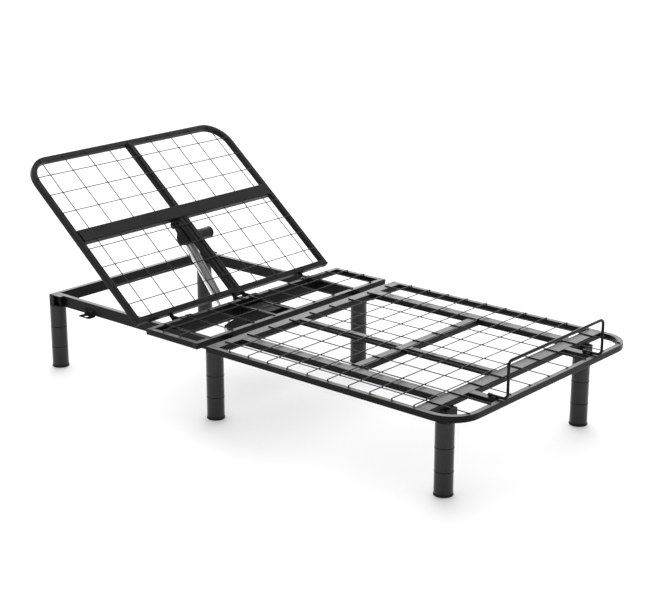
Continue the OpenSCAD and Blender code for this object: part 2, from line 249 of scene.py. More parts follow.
def path_sweep(points, radius, n=12, radii=None, closed=False):
    """A round rod along points, with a frame carried without twist."""
    pts = [Vector(p) for p in points]
    k = len(pts)
    frames, up = [], None
    rings = []
    for i in range(k):
        a = pts[i - 1] if (i > 0 or closed) else pts[i]
        b = pts[(i + 1) % k] if (i < k - 1 or closed) else pts[i]
        t = (b - a).normalized()
        if up is None:
            up = Vector((0, 0, 1)) if abs(t.z) < 0.9 else Vector((1, 0, 0))
        x = up.cross(t).normalized()
        y = t.cross(x).normalized()
        up = y
        rr = radii[i] if radii else radius
        rings.append([pts[i] + x * rr * math.cos(2 * math.pi * j / n) + y * rr * math.sin(2 * math.pi * j / n) for j in range(n)])
    return stitch(rings, closed=closed)


def rod(p, q, r, n=14, dome=0.5):
    """A straight wire with rounded cut ends."""
    p, q = Vector(p), Vector(q)
    d = (q - p).normalized()
    pts = [p, p + d * dome * 0.35, p + d * dome, q - d * dome, q - d * dome * 0.35, q]
    rad = [r - dome, r - dome * 0.25, r, r, r - dome * 0.25, r - dome]
    return path_sweep(pts, r, n, rad)


def blob(c, rx, ry, rz, n=10, m=6):
    verts, faces = lathe([(math.sin(math.pi * i / m), -math.cos(math.pi * i / m)) if 0 < i < m else (0, -math.cos(math.pi * i / m)) for i in range(m + 1)], n)
    return [(c[0] + x * rx, c[1] + y * ry, c[2] + z * rz) for x, y, z in verts], faces


def bead(p, q, r=1.7, seed=0):
    """A weld bead: a low rod whose width ripples along its run."""
    p, q = Vector(p), Vector(q)
    n = max(6, int((q - p).length / 0.9))
    side = (q - p).normalized().orthogonal().normalized()
    pts, rad = [], []
    for i in range(n + 1):
        t = i / n
        w = 0.16 * math.sin(i * 2.35 + seed) + 0.07 * math.sin(i * 0.83 + 2 * seed)
        e = min(1.0, 5 * t + 0.25, 5 * (1 - t) + 0.25)
        pts.append(p.lerp(q, t) + side * 0.12 * math.sin(i * 0.7 + seed))
        rad.append(r * (1 + w) * e)
    return path_sweep(pts, r, 8, rad)


def hexbolt(r, h, washer=None, wt=1.2, recess=True):
    """Hexagon head standing on z 0, with the turned chamfer and a washer."""
    b = Build()
    z = 0.0
    if washer:
        b.add(lathe([(0, 0), (washer - 0.25, 0), (washer, 0.25), (washer, wt - 0.25), (washer - 0.25, wt), (0, wt)], 32))
        z = wt
    loop = circle(r, 6)
    fine = []
    for i in range(6):
        a, c = Vector(loop[i]), Vector(loop[(i + 1) % 6])
        for j in range(4):
            fine.append(tuple(a.lerp(c, j / 4)))
    flat = r * math.cos(math.pi / 6)
    rings = [[(x, y, z) for x, y in fine]]
    ring = []
    for x, y in fine:
        d = math.hypot(x, y)
        drop = (d - flat * 0.98) * 0.6
        ring.append((x, y, h - max(0.25, drop)))
    rings.append(ring)
    rings.append([(x / math.hypot(x, y) * flat * 0.95, y / math.hypot(x, y) * flat * 0.95, h) for x, y in fine])
    if recess:
        rings.append([(x / math.hypot(x, y) * flat * 0.7, y / math.hypot(x, y) * flat * 0.7, h) for x, y in fine])
        rings.append([(x / math.hypot(x, y) * flat * 0.6, y / math.hypot(x, y) * flat * 0.6, h - 0.4) for x, y in fine])
    b.add(stitch(rings))
    return b.v, b.f


def btube(b, x0, x1, y0, y1, z0, z1, along, wall=2.0, r=2.0, both=False, m=None):
    """A rounded box-section tube, open at its ends, between two corners."""
    m = m if m is not None else Matrix.Identity(4)
    cx, cy, cz = (x0 + x1) / 2, (y0 + y1) / 2, (z0 + z1) / 2
    if along == "X":
        w, h, L = y1 - y0, z1 - z0, x1 - x0
    elif along == "Y":
        w, h, L = z1 - z0, x1 - x0, y1 - y0
    else:
        w, h, L = x1 - x0, y1 - y0, z1 - z0
    vf = hollow(rrect(w, h, r), rrect(w - 2 * wall, h - 2 * wall, max(0.3, r - wall * 0.6)), -L / 2, L / 2)
    mm = m @ T(cx, cy, cz) @ ALONG[along]
    if both:
        b.both(vf, mm)
    else:
        b.add(vf, mm)
    return b


# ---------------------------------------------------------------- materials
def new_mat(name):
    m = bpy.data.materials.new(name)
    m.use_nodes = True
    nt = m.node_tree
    nt.nodes.clear()
    out = nt.nodes.new("ShaderNodeOutputMaterial")
    bsdf = nt.nodes.new("ShaderNodeBsdfPrincipled")
    nt.links.new(bsdf.outputs[0], out.inputs[0])
    return m, nt, bsdf


def noise(nt, vec, scale, detail=4.0, rough=0.55):
    n = nt.nodes.new("ShaderNodeTexNoise")
    n.inputs["Scale"].default_value = scale
    n.inputs["Detail"].default_value = detail
    n.inputs["Roughness"].default_value = rough
    nt.links.new(vec, n.inputs["Vector"])
    return n.outputs["Fac"]


def ramp(nt, fac, stops):
    n = nt.nodes.new("ShaderNodeValToRGB")
    n.color_ramp.interpolation = "LINEAR"
    while len(n.color_ramp.elements) < len(stops):
        n.color_ramp.elements.new(0.5)
    for e, (p, c) in zip(n.color_ramp.elements, stops):
        e.position = p
        e.color = (c[0], c[1], c[2], 1) if isinstance(c, (tuple, list)) else (c, c, c, 1)
    nt.links.new(fac, n.inputs["Fac"])
    return n.outputs["Color"]


def maprange(nt, fac, lo, hi, a=0.3, b=0.7):
    n = nt.nodes.new("ShaderNodeMapRange")
    n.inputs["From Min"].default_value = a
    n.inputs["From Max"].default_value = b
    n.inputs["To Min"].default_value = lo
    n.inputs["To Max"].default_value = hi
    nt.links.new(fac, n.inputs["Value"])
    return n.outputs["Result"]


def math_node(nt, op, a, b):
    n = nt.nodes.new("ShaderNodeMath")
    n.operation = op
    for i, x in enumerate((a, b)):
        if isinstance(x, (int, float)):
            n.inputs[i].default_value = x
        else:
            nt.links.new(x, n.inputs[i])
    return n.outputs[0]


def bump(nt, height, strength, distance, normal=None):
    n = nt.nodes.new("ShaderNodeBump")
    n.inputs["Strength"].default_value = strength
    n.inputs["Distance"].default_value = distance
    nt.links.new(height, n.inputs["Height"])
    if normal is not None:
        nt.links.new(normal, n.inputs["Normal"])
    return n.outputs["Normal"]


def coords(nt, scale=(1, 1, 1), rot=(0, 0, 0)):
    tc = nt.nodes.new("ShaderNodeTexCoord")
    mp = nt.nodes.new("ShaderNodeMapping")
    mp.inputs["Scale"].default_value = scale
    mp.inputs["Rotation"].default_value = rot
    mp.vector_type = "TEXTURE"
    nt.links.new(tc.outputs["Object"], mp.inputs["Vector"])
    return mp.outputs["Vector"]


def powder(name, dark, light, r0, r1, spec, peel=0.35):
    """Baked powder coat: fine orange peel, cloudy gloss, faint mottling."""
    m, nt, b = new_mat(name)
    v = coords(nt)
    cloud = noise(nt, v, 9.0, 5.0)
    grain = noise(nt, v, 900.0, 3.0)
    peelv = noise(nt, v, 420.0, 2.0, 0.4)
    speck = noise(nt, v, 2600.0, 1.0)
    mixed = math_node(nt, "ADD", math_node(nt, "MULTIPLY", cloud, 0.6), math_node(nt, "MULTIPLY", grain, 0.4))
    nt.links.new(ramp(nt, mixed, [(0.3, dark), (0.7, light)]), b.inputs["Base Color"])
    nt.links.new(maprange(nt, mixed, r0, r1), b.inputs["Roughness"])
    b.inputs["Specular IOR Level"].default_value = spec
    n1 = bump(nt, peelv, peel, 0.0006)
    nt.links.new(bump(nt, speck, peel * 0.5, 0.0002, n1), b.inputs["Normal"])
    return m


def plastic(name, dark, light, r0, r1, spec=0.4, grain=700.0, depth=0.0004, strength=0.35):
    """Moulded plastic: spark-eroded grain and slightly shinier high spots."""
    m, nt, b = new_mat(name)
    v = coords(nt)
    big = noise(nt, v, 14.0, 4.0)
    g = noise(nt, v, grain, 3.0, 0.6)
    nt.links.new(ramp(nt, math_node(nt, "ADD", math_node(nt, "MULTIPLY", big, 0.5), math_node(nt, "MULTIPLY", g, 0.5)), [(0.3, dark), (0.7, light)]), b.inputs["Base Color"])
    nt.links.new(maprange(nt, g, r1, r0), b.inputs["Roughness"])
    b.inputs["Specular IOR Level"].default_value = spec
    nt.links.new(bump(nt, g, strength, depth), b.inputs["Normal"])
    return m


def metal(name, dark, light, r0, r1, stretch, rot, scale, strength, depth=0.0002, aniso=0.0):
    """Bare metal: streaks along one direction in colour, gloss and bump."""
    m, nt, b = new_mat(name)
    v = coords(nt, stretch, rot)
    streak = noise(nt, v, scale, 4.0, 0.6)
    fine = noise(nt, v, scale * 4.3, 2.0)
    blot = noise(nt, coords(nt), 22.0, 4.0)
    mixed = math_node(nt, "ADD", math_node(nt, "MULTIPLY", streak, 0.65), math_node(nt, "MULTIPLY", blot, 0.35))
    nt.links.new(ramp(nt, mixed, [(0.3, dark), (0.7, light)]), b.inputs["Base Color"])
    b.inputs["Metallic"].default_value = 1.0
    b.inputs["Anisotropic"].default_value = aniso
    nt.links.new(maprange(nt, mixed, r0, r1), b.inputs["Roughness"])
    nt.links.new(bump(nt, math_node(nt, "ADD", streak, fine), strength, depth), b.inputs["Normal"])
    return m


MAT = {
    "frame": powder("powder_coat_frame", (0.0038, 0.0038, 0.0042), (0.0074, 0.0074, 0.0078), 0.25, 0.37, 0.10),
    "mesh": powder("powder_coat_wire", (0.0060, 0.0060, 0.0065), (0.0105, 0.0105, 0.0110), 0.30, 0.44, 0.16, 0.2),
    "leg": powder("powder_coat_leg", (0.0065, 0.0065, 0.0070), (0.0110, 0.0110, 0.0115), 0.16, 0.27, 0.34, 0.2),
    "cap": plastic("moulded_plastic_caps", (0.005, 0.005, 0.0055), (0.010, 0.010, 0.0105), 0.42, 0.60, 0.2),
    "glide": plastic("moulded_plastic_glides", (0.006, 0.006, 0.0065), (0.012, 0.012, 0.013), 0.45, 0.65, 0.2),
    "gear": plastic("moulded_plastic_gearbox", (0.0035, 0.0035, 0.004), (0.008, 0.008, 0.009), 0.34, 0.50, 0.12, 520.0, 0.0005, 0.4),
    "motor": powder("painted_motor_can", (0.012, 0.012, 0.013), (0.020, 0.020, 0.021), 0.28, 0.42, 0.24, 0.25),
    "box": plastic("moulded_plastic_control_box", (0.0030, 0.0030, 0.0035), (0.007, 0.007, 0.0075), 0.50, 0.68, 0.08),
    "zinc": metal("zinc_plate", (0.46, 0.46, 0.45), (0.66, 0.66, 0.65), 0.24, 0.42, (1, 1, 1), (0, 0, 0), 160.0, 0.12),
    "alu": metal("anodised_aluminium", (0.20, 0.203, 0.206), (0.30, 0.303, 0.306), 0.24, 0.36, (0.02, 1.0, 0.02), (math.pi + ACT, 0, 0), 7.0, 0.05, 0.0001, 0.3),
    "tube": metal("polished_guide_tube", (0.80, 0.80, 0.81), (0.90, 0.90, 0.91), 0.10, 0.20, (0.02, 1.0, 0.02), (math.pi + ACT, 0, 0), 6.0, 0.02, 0.0001),
    "chrome": metal("ground_chrome_rod", (0.68, 0.68, 0.69), (0.82, 0.82, 0.83), 0.08, 0.18, (1, 1, 1), (0, 0, 0), 90.0, 0.02, 0.0001),
    "weld": metal("coated_weld", (0.007, 0.007, 0.0075), (0.014, 0.014, 0.015), 0.32, 0.50, (1, 1, 1), (0, 0, 0), 700.0, 0.35, 0.0004),
}
MAT["weld"].node_tree.nodes["Principled BSDF"].inputs["Metallic"].default_value = 0.0
MAT["weld"].node_tree.nodes["Principled BSDF"].inputs["Specular IOR Level"].default_value = 0.2


def piece(name, build, m, body, mat, replaces=(), angle=38):
    """Makes a mesh from millimetres in a local frame, and hands it to the frame."""
    me = bpy.data.meshes.new(name)
    me.from_pydata([(m @ Vector(p)) * 0.001 for p in build.v], [], build.f)
    me.update()
    bm = bmesh.new()
    bm.from_mesh(me)
    bmesh.ops.remove_doubles(bm, verts=bm.verts, dist=1e-7)
    bmesh.ops.recalc_face_normals(bm, faces=bm.faces)
    bm.to_mesh(me)
    bm.free()
    for p in me.polygons:
        p.use_smooth = True
    me.set_sharp_from_angle(angle=math.radians(angle))
    me.materials.append(MAT[mat])
    ob = bpy.data.objects.new(name, me)
    bpy.context.scene.collection.objects.link(ob)
    wn = ob.modifiers.new("weighted", "WEIGHTED_NORMAL")
    wn.keep_sharp = True
    wn.weight = 100
    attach(ob, body)
    if replaces:
        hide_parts(*replaces)
    return ob


# ---------------------------------------------------------------- deck of the foot section
def u_frames(cx, s0, s_c, rad, z, sign):
    """Frames of a U: up one side, round two corners and back; sign turns the U over."""
    fr = [((cx + rad, s0, z), (1, 0, 0), (0, 0, 1))]
    n = 20
    for i in range(n + 1):
        a = math.pi / 2 * i / n
        nx, ny = math.cos(a), sign * math.sin(a)
        fr.append(((cx + rad * nx, s_c + rad * ny, z), (nx, ny, 0), (0, 0, 1)))
    for i in range(n + 1):
        a = math.pi / 2 * (1 - i / n)
        nx, ny = -math.cos(a), sign * math.sin(a)
        fr.append(((-cx + rad * nx, s_c + rad * ny, z), (nx, ny, 0), (0, 0, 1)))
    fr.append(((-cx - rad, s0, z), (-1, 0, 0), (0, 0, 1)))
    return fr


def u_tube(cx, s0, s_c, rad, z, sign):
    outer = rrect(TUBE, TUBE, 2.2, 4)
    inner = rrect(TUBE - 2 * WALL, TUBE - 2 * WALL, 1.2, 4)
    fr = u_frames(cx, s0, s_c, rad, z, sign)
    ringo = [[Vector(o) + Vector(ax) * x + Vector(ay) * y for x, y in outer] for o, ax, ay in fr]
    ringi = [[Vector(o) + Vector(ax) * x + Vector(ay) * y for x, y in inner] for o, ax, ay in fr]
    return stitch(ringo + ringi[::-1], closed=True)


b = Build()
b.add(u_tube(HX - 100, 8.5, -876.5, 90, Z0 + 10, -1))
piece("foot_frame_tube", b, M_BASE, "base", "frame", ["foot_side_tubes", "foot_corner_bends", "foot_end_tube"])

b = Build()
btube(b, -HX + TUBE, HX - TUBE, -29, 10, Z0, Z1, "X")
piece("seam_crossbar_tube", b, M_BASE, "base", "frame", ["seam_crossbar"])
b = Build()
btube(b, -HX + TUBE, HX - TUBE, -860, -811, Z0, Z1, "X")
piece("foot_crossbar_tube", b, M_BASE, "base", "frame", ["foot_crossbar"])
b = Build()
btube(b, 312, 352, -811, -29, Z0, Z1, "Y", both=True)
piece("foot_rail_tubes", b, M_BASE, "base", "frame", ["foot_rails"])
b = Build()
btube(b, -76, -52, -811, -484, Z0, Z1, "Y")
btube(b, -76, -52, -446, -29, Z0, Z1, "Y")
piece("foot_centre_rail_tubes", b, M_BASE, "base", "frame", ["foot_centre_rail"])
b = Build()
btube(b, -312, 312, -484, -446, Z0, Z1, "X")
piece("mid_crossbar_tube", b, M_BASE, "base", "frame", ["mid_crossbar"])
b = Build()
btube(b, 240, 270, -956.5, -860, Z0, Z1, "Y", both=True)
piece("retainer_stub_tubes", b, M_BASE, "base", "frame", ["retainer_stubs"])

# ---------------------------------------------------------------- seat section
SY0, SY1 = 49.0, 284.0
b = Build()
btube(b, -HX + 1.5, HX - 1.5, SY1 - 20, SY1, Z0, Z1, "X", 1.5, 2.0)
piece("seat_head_rail", b, M_BASE, "base", "frame", ["seat_head_tube"])
b = Build()
btube(b, -HX + 1.5, HX - 1.5, SY0, SY0 + 20, Z0, Z1, "X", 1.5, 2.0)
piece("seat_foot_rail", b, M_BASE, "base", "frame", ["seat_foot_tube"])
b = Build()
btube(b, HX - 20, HX, SY0 + 20, SY1 - 20, Z0, Z1, "Y", 1.5, 2.0, both=True)
piece("seat_end_rails", b, M_BASE, "base", "frame", ["seat_side_tubes"])


# ---------------------------------------------------------------- wire mesh
def mesh_wires(prefix, xs, runs, cross, x_end, z_long, z_cross, pad_y, z_pad, m, body, rep_long, rep_cross, rep_pads):
    b = Build()
    for x in xs:
        for y0, y1 in runs:
            b.add(rod((x, y0, z_long), (x, y1, z_long), R))
    piece(prefix + "_long_wires", b, m, body, "mesh", rep_long)
    b = Build()
    for y in cross:
        b.add(rod((-x_end, y, z_cross), (x_end, y, z_cross), R))
    piece(prefix + "_cross_wires", b, m, body, "mesh", rep_cross)
    b = Build()
    for y in cross:
        for x in xs:
            if any(y0 < y < y1 for y0, y1 in runs):
                b.add(blob((x, y, (z_long + z_cross) / 2), 2.3, 2.3, 0.75))
    for y in pad_y:
        b.both(lathe([(0, 0.05), (3.4, 0.05), (3.3, 0.5), (2.4, 1.1), (2.1, 2.2), (2.3, 3.2), (1.6, 3.9), (0, 4.1)], 14), T(HX - 14.5, y, z_pad))
    piece(prefix + "_mesh_welds", b, m, body, "weld", rep_pads)


XS = [i * PITCH for i in range(-4, 5)]
mesh_wires("foot", XS, [(-964, -6)], [-81 * j for j in range(1, 11)], 465, ZLONG, ZCROSS, [-81 * j for j in range(1, 11)] + [139, 216], Z1, M_BASE, "base", ["foot_wires_long"], ["foot_wires_cross"], ["mesh_weld_pads"])
mesh_wires("seat", XS, [(57, 276)], [139, 216], 465, ZLONG, ZCROSS, [], Z1, M_BASE, "base", ["seat_wires_long"], ["seat_wires_cross"], [])
BCROSS = [656.0, 575.3, 494.6, 332.1, 251.4, 170.7, 90.0]
mesh_wires("back", XS, [(416, 732), (27, 365)], BCROSS, 465, 0.0, 3.4, BCROSS, O1, M_BACK, "backrest", ["back_wires_long"], ["back_wires_cross"], ["back_weld_pads"])

# ---------------------------------------------------------------- head half of the base
b = Build()
btube(b, -377, -357, 52, 857, ZL, ZR, "Y")
piece("side_rail_left_tube", b, M_BASE, "base", "frame", ["side_rail_left"])
b = Build()
btube(b, 357, 377, 52, 857, ZL, ZR, "Y")
piece("side_rail_right_tube", b, M_BASE, "base", "frame", ["side_rail_right"])
b = Build()
btube(b, -391, 391, 857, 877, ZL, ZR, "X")
piece("head_cross_rail_tube", b, M_BASE, "base", "frame", ["head_cross_rail"])
b = Build()
btube(b, -357, 357, 264, 284, ZL, ZR, "X")
piece("mid_cross_rail_tube", b, M_BASE, "base", "frame", ["mid_cross_rail"])
b = Build()
btube(b, -357, 357, 52, 72, ZL, ZR, "X")
piece("seam_cross_rail_tube", b, M_BASE, "base", "frame", ["seam_cross_rail"])
b = Build()
btube(b, 36.5, 56.5, 72, 264, ZL, ZR, "Y", both=True)
piece("seat_centre_rail_tubes", b, M_BASE, "base", "frame", ["seat_centre_rails"])


def cap_plate(w, h, t, dome=0.8):
    """A push-in end cap: plate with a soft edge and a slightly domed face."""
    lp = rrect(w, h, 2.0)
    rings = [[(x, y, 0) for x, y in lp], [(x, y, t - 0.7) for x, y in lp]]
    for k, (d, z) in enumerate(((0.25, t - 0.3), (0.9, t - 0.06), (2.6, t))):
        rings.append([(x, y, z) for x, y in inset(lp, d)])
    return stitch(rings)


b = Build()
b.both(cap_plate(20, 40, 2.0), T(391, 867, ZL + 20) @ ALONG["X"])
b.both(cap_plate(40, 20, 2.0), T(367, 52, ZL + 20) @ ALONG["Y"] @ Matrix.Rotation(math.pi, 4, "X"))
b.both(prism(rrect(15.6, 35.6, 1.5), -12, 0, 0.4), T(391, 867, ZL + 20) @ ALONG["X"])
piece("rail_plugs", b, M_BASE, "base", "cap", ["rail_end_plugs"])

b = Build()
for y in (SY0 + 10, SY1 - 10):
    b.both(cap_plate(20, 20, 1.5), T(HX - 1.5, y, Z0 + 10) @ ALONG["X"])
b.both(cap_plate(20, 20, 1.5), T(HX - 10, 8.5, Z0 + 10) @ ALONG["Y"])
b.both(prism(rrect(16.9, 16.9, 1.5), -12, 0, 0.6), T(HX - 10, 8.5, Z0 + 10) @ ALONG["Y"])
piece("deck_end_caps", b, M_BASE, "base", "cap", ["tube_end_caps"])


def open_box(w, h, d, t, r=2.0, back=3.0):
    """A pressed bracket: a box open on its +Z side, with a turned-in rim."""
    lo, li = rrect(w, h, r), rrect(w - 2 * t, h - 2 * t, max(0.4, r - t * 0.5))
    rings = [[(x, y, 0.7) for x, y in inset(lo, 0.0)], [(x, y, d - 0.3) for x, y in lo], [(x, y, d) for x, y in inset(lo, 0.3)],
             [(x, y, d) for x, y in inset(li, -0.3)], [(x, y, d - 0.3) for x, y in li], [(x, y, back) for x, y in li]]
    base = [(x, y, 0) for x, y in inset(lo, 0.7)]
    return stitch([base] + rings)


b = Build()
b.both(open_box(40, 40, 16, 3.0), T(377, 837, ZL + 20) @ ALONG["X"])
b.both(hexbolt(5.5, 4.2, 7.5), T(380, 837, ZL + 20) @ ALONG["X"])
piece("head_leg_bracket_pressings", b, M_BASE, "base", "frame", ["head_leg_brackets"])
b = Build()
b.both(open_box(50, 40, 50, 3.0), T(391.5, -849, ZL + 20) @ ALONG["X"] @ Matrix.Rotation(math.pi, 4, "Y"))
piece("foot_leg_bracket_pressings", b, M_BASE, "base", "frame", ["foot_leg_brackets"])

# ---------------------------------------------------------------- legs
LR = 29.0


def leg_profile(z0, z1, collar, foot_lip=False):
    p = [(5.1, z0), (LR - 1.6, z0), (LR - 0.7, z0 + 0.35), (LR, z0 + 1.3), (LR, z0 + 3.0), (LR, (z0 + z1) / 2), (LR, z1 - 4.2), (LR, z1 - 3.9)]
    if collar > 0.3:
        p += [(LR + collar * 0.7, z1 - 3.6), (LR + collar, z1 - 3.1), (LR + collar, z1 - 1.3), (LR + collar * 0.6, z1 - 0.8), (LR - 0.5, z1 - 0.35), (LR - 1.6, z1)]
    else:
        p += [(LR, z1 - 1.2), (LR - 0.4, z1 - 0.3), (LR - 1.4, z1)]
    p += [(5.1, z1)]
    return p


def legs(name, vf, mat, rep):
    b = Build()
    for y in LEG_Y:
        for sx in (-1, 1):
            b.add(vf, T(sx * LEG_X, y, 0) @ Matrix.Rotation(0.4 * sx + y * 0.01, 4, "Z"))
    return piece(name, b, M_BASE, "base", mat, rep)


legs("leg_tubes_upper", lathe(leg_profile(152, 232.3, 0.2), 96, True), "leg", ["leg_upper_sections"])
legs("leg_tubes_middle", lathe(leg_profile(77, 152, 0.8), 96, True), "leg", ["leg_middle_sections"])
legs("leg_tubes_lower", lathe(leg_profile(8, 77, 0.8), 96, True), "leg", ["leg_lower_sections"])
legs("leg_glide_pads", lathe([(0, 0), (24, 0), (26.5, 0.4), (28.6, 0.0), (29.6, 0.5), (30.2, 1.6), (30.2, 4.6), (29.9, 5.6), (29.0, 6.6), (28.6, 8), (5.1, 8), (5.1, 6), (0, 6)], 72), "glide", ["leg_glides"])
b = Build()
stud = []
for z0, z1 in ((6, 14), (61, 93), (136, 168), (216.3, 244.3)):
    stud = [(0, z0), (4.4, z0), (4.95, z0 + 0.6)]
    z = z0 + 1.2
    while z < z1 - 1.2:
        stud += [(4.95, z), (4.45, z + 0.5), (4.95, z + 1.0)]
        z += 1.25
    stud += [(4.95, z1 - 0.6), (4.4, z1), (0, z1)]
    for y in LEG_Y:
        for sx in (-1, 1):
            b.add(lathe(stud, 16), T(sx * LEG_X, y, 0))
piece("leg_stud_threads", b, M_BASE, "base", "zinc", ["leg_studs"])

# ---------------------------------------------------------------- retainer
RZ, RR, RTOP = Z1 + 1.2 + 4.5, 16.0, 419.5
pts = [(255, -922.4, RZ), (255, -930, RZ)]
for i in range(13):
    a = math.pi / 2 * i / 12
    pts.append((255, -987 + RR - RR * math.sin(a), RZ + RR - RR * math.cos(a)))
zt = RTOP - 4.5
for i in range(13):
    a = math.pi / 2 * i / 12
    pts.append((255 - RR + RR * math.cos(a), -987, zt - RR + RR * math.sin(a)))
full = pts + [(-x, y, z) for x, y, z in pts[::-1]]
b = Build()
b.add(path_sweep(full, 4.5, 20))
piece("retainer_rod", b, M_BASE, "base", "frame", ["retainer_bar"])
b = Build()
prof = fillet([(-9, 0), (9, 0), (9, 4.2), (5.4, 5.6), (4.55, 5.6), (4.2, 3.9), (2.6, 1.9), (0, 1.2), (-2.6, 1.9), (-4.2, 3.9), (-4.55, 5.6), (-5.4, 5.6), (-9, 4.2)], 0.4, 2)
b.both(prism(prof, 0, 14, 0.5), T(255, -936, Z1) @ Matrix.Rotation(math.pi / 2, 4, "X"))
piece("retainer_saddle_blocks", b, M_BASE, "base", "cap", ["retainer_saddles"])
b = Build()
b.both(lathe([(4.6, 0), (5.3, 0), (5.6, 0.4), (5.6, 3), (5.3, 3.3), (5.3, 4.1), (5.6, 4.4), (5.6, 11.7), (5.2, 12.9), (3.8, 13.45), (0, 13.5)], 28), T(255, -933, RZ) @ Matrix.Rotation(-math.pi / 2, 4, "X"))
piece("retainer_end_caps", b, M_BASE, "base", "cap", ["retainer_caps"])

# ---------------------------------------------------------------- seam plates, small parts
b = Build()
b.both(prism(rrect(45, 81, 3.0), Z0 - 4, Z0, 0.4), T(322.5, 11.5, 0))
piece("seam_joint_plates", b, M_BASE, "base", "frame", ["seam_plates"])
b = Build()
for y in (-20, 1):
    b.both(hexbolt(7.2, 5.0, 8.2, 1.0), T(322.5, y, Z0 - 4) @ Matrix.Rotation(math.pi, 4, "X"))
piece("seam_joint_bolts", b, M_BASE, "base", "zinc", ["seam_bolts"])

def flange(w, h, hole, t0, t1, bev=0.4):
    """A plate with a round hole, both with softened edges."""
    lp = rrect(w, h, 4.0, 6)
    fine = []
    for i in range(len(lp)):
        p, q = Vector(lp[i]), Vector(lp[(i + 1) % len(lp)])
        k = 5 if (q - p).length > 6 else 1
        fine += [tuple(p.lerp(q, j / k)) for j in range(k)]
    hl = [(hole * x / math.hypot(x, y), hole * y / math.hypot(x, y)) for x, y in fine]
    hi = [((hole + bev) * x / math.hypot(x, y), (hole + bev) * y / math.hypot(x, y)) for x, y in fine]
    oi = inset(fine, bev)
    rings = [[(x, y, t0) for x, y in oi], [(x, y, t0 + bev) for x, y in fine], [(x, y, t1 - bev) for x, y in fine], [(x, y, t1) for x, y in oi],
             [(x, y, t1) for x, y in hi], [(x, y, t1 - bev) for x, y in hl], [(x, y, t0 + bev) for x, y in hl], [(x, y, t0) for x, y in hi]]
    return stitch(rings, closed=True)


BY = 679.0
b = Build()
b.add(prism(rrect(54, 24, 3.0), -3, 0, 0.6), T(-377, BY, ZL + 8) @ ALONG["X"])
b.add(flange(28, 54, 9.0, ZL - 4, ZL - 1), T(-394, BY, 0))
b.add(prism(rrect(4.2, 54, 1.0), ZL - 4, ZL - 1, 0.4), T(-379.9, BY, 0))
for y in (BY - 16, BY + 16):
    b.add(hexbolt(5.0, 3.4, 6.4, 0.9), Matrix.Diagonal((-1, 1, 1, 1)) @ T(380, y, ZL + 11) @ ALONG["X"])
piece("side_bracket_plate", b, M_BASE, "base", "frame", ["side_bracket"])

b = Build()
b.add(prism(rrect(72, 104, 6.0, 6), ZL + 6, ZL + 37, 2.2, 4), T(0, 202, 0))
for i in range(9):
    b.add(prism(rrect(2.0, 60, 0.9, 3), ZL + 36.6, ZL + 37.6, 0.4), T(-20 + 5 * i, 214, 0))
b.add(prism(rrect(14, 12, 2.0), 0, 3.4, 0.5), T(-19, 150.4, ZL + 18) @ Matrix.Rotation(math.pi / 2, 4, "X"))
for x in (-29, 29):
    for y in (157, 247):
        b.add(lathe([(0, 0), (3.2, 0), (3.2, 0.6), (2.6, 1.0), (0, 1.0)], 20), T(x, y, ZL + 36.9))
piece("control_box_case", b, M_BASE, "base", "box", ["control_box"])

# ---------------------------------------------------------------- hinges
def ring_plate(outline, holes_r, z0, z1, hole=(0, 0), bev=0.4):
    """A plate with a round outer end about the hole: outline loop joined to a hole loop through both faces."""
    n = len(outline)
    hl = []
    for x, y in outline:
        a = math.atan2(y - hole[1], x - hole[0])
        hl.append((hole[0] + holes_r * math.cos(a), hole[1] + holes_r * math.sin(a)))
    o_in = inset(outline, bev)
    rings = [[(x, y, z0) for x, y in o_in], [(x, y, z0 + bev) for x, y in outline], [(x, y, z1 - bev) for x, y in outline], [(x, y, z1) for x, y in o_in],
             [(x, y, z1) for x, y in hl], [(x, y, z0) for x, y in hl]]
    return stitch(rings, closed=True)


def eye_outline(length, half, r, n=20, extra=6):
    """From a straight end at -length to a round end of radius r about 0."""
    pts = []
    for i in range(extra):
        pts.append((-length, half - 2 * half * i / (extra - 1)))
    for i in range(1, extra):
        pts.append((-length + (length) * i / extra, -half))
    for i in range(n + 1):
        a = -math.pi / 2 + math.pi * i / n
        pts.append((r * math.cos(a), r * math.sin(a)))
    for i in range(1, extra):
        pts.append((-length * i / extra, half))
    return pts


b = Build()
for x in (318, 24.4):
    b.both(ring_plate(eye_outline(HY - SY1, 9, 9), 4.05, 0, 4), T(x, HY, HZ) @ ALONG["X"])
b.both(prism(rrect(26.5, 21, 3.0), Z1, Z1 + 3, 0.5), T(289.25, SY1 - 20 + 12.5, 0))
b.both(prism(rrect(18.5, 21, 3.0), Z1, Z1 + 3, 0.5), T(316.75, SY1 - 20 + 12.5, 0))
b.both(prism(rrect(20, 21, 3.0), Z1, Z1 + 3, 0.5), T(32, SY1 - 20 + 12.5, 0))
piece("hinge_lug_plates", b, M_BASE, "base", "frame", ["hinge_lugs"])

